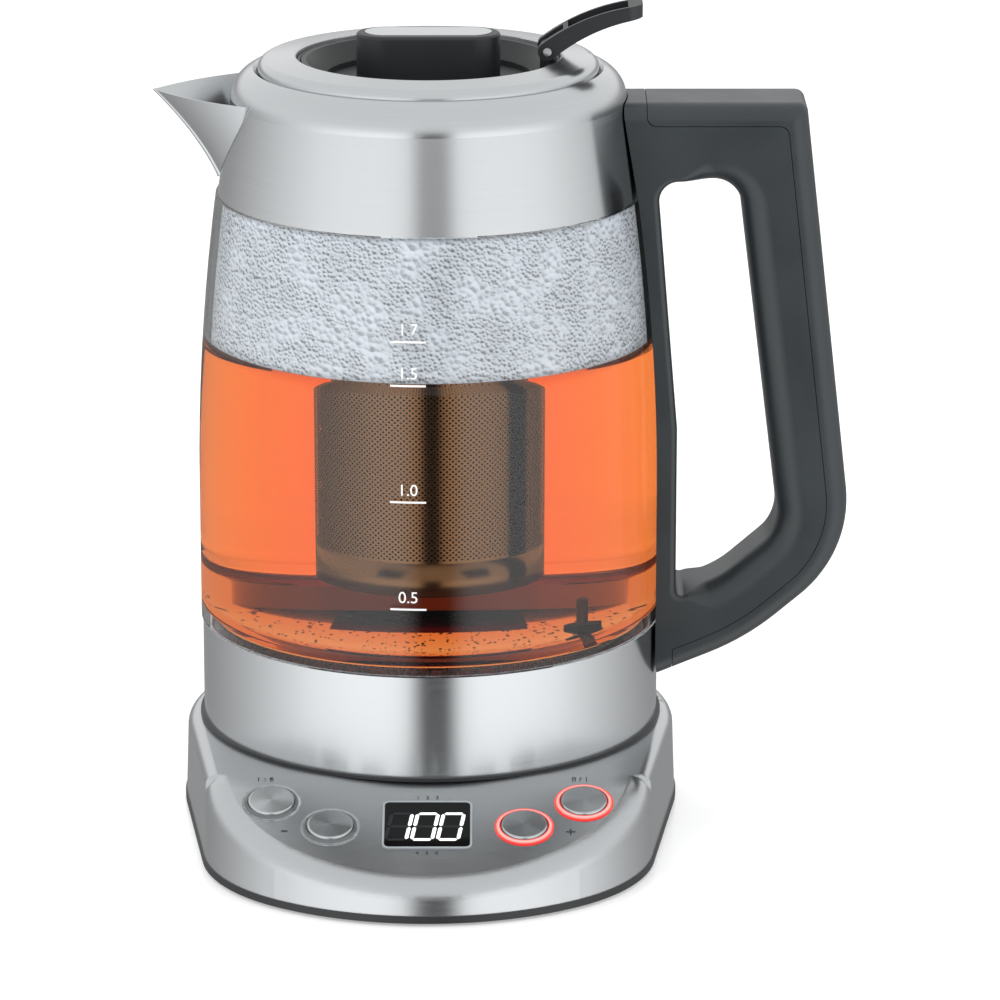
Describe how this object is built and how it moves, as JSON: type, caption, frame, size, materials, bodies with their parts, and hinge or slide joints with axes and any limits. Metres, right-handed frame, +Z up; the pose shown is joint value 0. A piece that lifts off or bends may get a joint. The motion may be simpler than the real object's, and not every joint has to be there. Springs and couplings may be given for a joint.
{
  "type": "automatic tea maker",
  "caption": "Glass kettle with steel band and collar, a lift-out tea infuser with lid and lever, on a powered base with push buttons and a sloped display panel.",
  "frame": {"origin": "on the table, under the axis of the kettle", "axes": "+Z up along the kettle's axis, +X from the spout towards the handle, -Y towards the control panel"},
  "size_m": [0.2162, 0.2023, 0.2573],
  "materials": {
    "brushed_steel": "brushed sheet steel",
    "inner_steel": "drawn and pierced sheet steel",
    "polished_steel": "polished wire and plate",
    "screw_steel": "zinc plated",
    "black_plastic": "moulded, fine texture",
    "handle_plastic": "moulded, satin slate grey",
    "rubber": "moulded silicone rubber",
    "glass": "blown borosilicate glass, clear",
    "display_window": "polished smoked acrylic",
    "display_frame": "moulded trim, gloss",
    "light_ring": "clear moulded light guide",
    "display_module": "sealed module",
    "circuit_board": "solder-masked board",
    "contact_brass": "turned contact rings",
    "aluminium": "cast and rolled",
    "white_plastic": "moulded ceramic-filled plastic"
  },
  "bodies": {
    "power_base": {"base_cover": "brushed_steel", "base_pan": "black_plastic", "foot_ring": "rubber", "pan_screws": "screw_steel", "dock_plate": "black_plastic", "connector_hub": "black_plastic", "hub_contacts": "contact_brass", "program_light_ring": "light_ring", "minus_light_ring": "light_ring", "plus_light_ring": "light_ring", "power_light_ring": "light_ring", "display_bezel": "display_frame", "display_window": "display_window", "display_module": "display_module", "control_board": "circuit_board", "button_switches": "white_plastic", "power_supply": "white_plastic", "lead_inlet": "black_plastic"},
    "program_key": {"program_button": "brushed_steel"},
    "minus_key": {"minus_button": "brushed_steel"},
    "plus_key": {"plus_button": "brushed_steel"},
    "power_key": {"power_button": "brushed_steel"},
    "kettle": {"kettle_band": "brushed_steel", "kettle_underside": "black_plastic", "kettle_socket": "black_plastic", "kettle_floor": "inner_steel", "lower_seal": "rubber", "heat_spreader": "aluminium", "heating_element": "aluminium", "thermal_cutout": "white_plastic", "sensor_probe": "inner_steel", "sensor_gland": "rubber", "glass_body": "glass", "neck_seal": "rubber", "collar": "brushed_steel", "spout": "brushed_steel", "spout_filter_frame": "black_plastic", "spout_filter_mesh": "inner_steel", "handle_screws": "screw_steel", "handle_frame": "handle_plastic", "handle_spine": "handle_plastic"},
    "lid": {"lid_ring": "brushed_steel", "lid_carrier": "black_plastic", "lid_gasket": "rubber"},
    "infuser": {"infuser_basket": "inner_steel", "infuser_collar": "black_plastic", "lever_bracket": "black_plastic", "lever_pin": "polished_steel"},
    "lever": {"infuser_lever": "black_plastic"},
    "inner_lid": {"inner_lid": "black_plastic", "inner_lid_grip": "black_plastic", "grip_inlay": "polished_steel"}
  },
  "joints": [
    {"name": "kettle_lift", "type": "slide", "parent": "power_base", "child": "kettle", "axis": [0, 0, 1], "range_m": [0, 0.06]},
    {"name": "lid_lift", "type": "slide", "parent": "kettle", "child": "lid", "axis": [0, 0, 1], "range_m": [0, 0.05]},
    {"name": "infuser_lift", "type": "slide", "parent": "lid", "child": "infuser", "axis": [0, 0, 1], "range_m": [0, 0.17]},
    {"name": "inner_lid_lift", "type": "slide", "parent": "infuser", "child": "inner_lid", "axis": [0, 0, 1], "range_m": [0, 0.04]},
    {"name": "lever_turn", "type": "hinge", "parent": "infuser", "child": "lever", "pos_m": [0.0366, 0, 0.243], "axis": [0, -1, 0], "range_deg": [0, 60]},
    {"name": "program_press", "type": "slide", "parent": "power_base", "child": "program_key", "axis": [0, 0.309, -0.9511], "range_m": [0, 0.0008], "stiffness_N_per_m": 900, "springref_m": -0.0006},
    {"name": "minus_press", "type": "slide", "parent": "power_base", "child": "minus_key", "axis": [0, 0.309, -0.9511], "range_m": [0, 0.0008], "stiffness_N_per_m": 900, "springref_m": -0.0006},
    {"name": "plus_press", "type": "slide", "parent": "power_base", "child": "plus_key", "axis": [0, 0.309, -0.9511], "range_m": [0, 0.0008], "stiffness_N_per_m": 900, "springref_m": -0.0006},
    {"name": "power_press", "type": "slide", "parent": "power_base", "child": "power_key", "axis": [0, 0.309, -0.9511], "range_m": [0, 0.0008], "stiffness_N_per_m": 900, "springref_m": -0.0006}
  ]
}
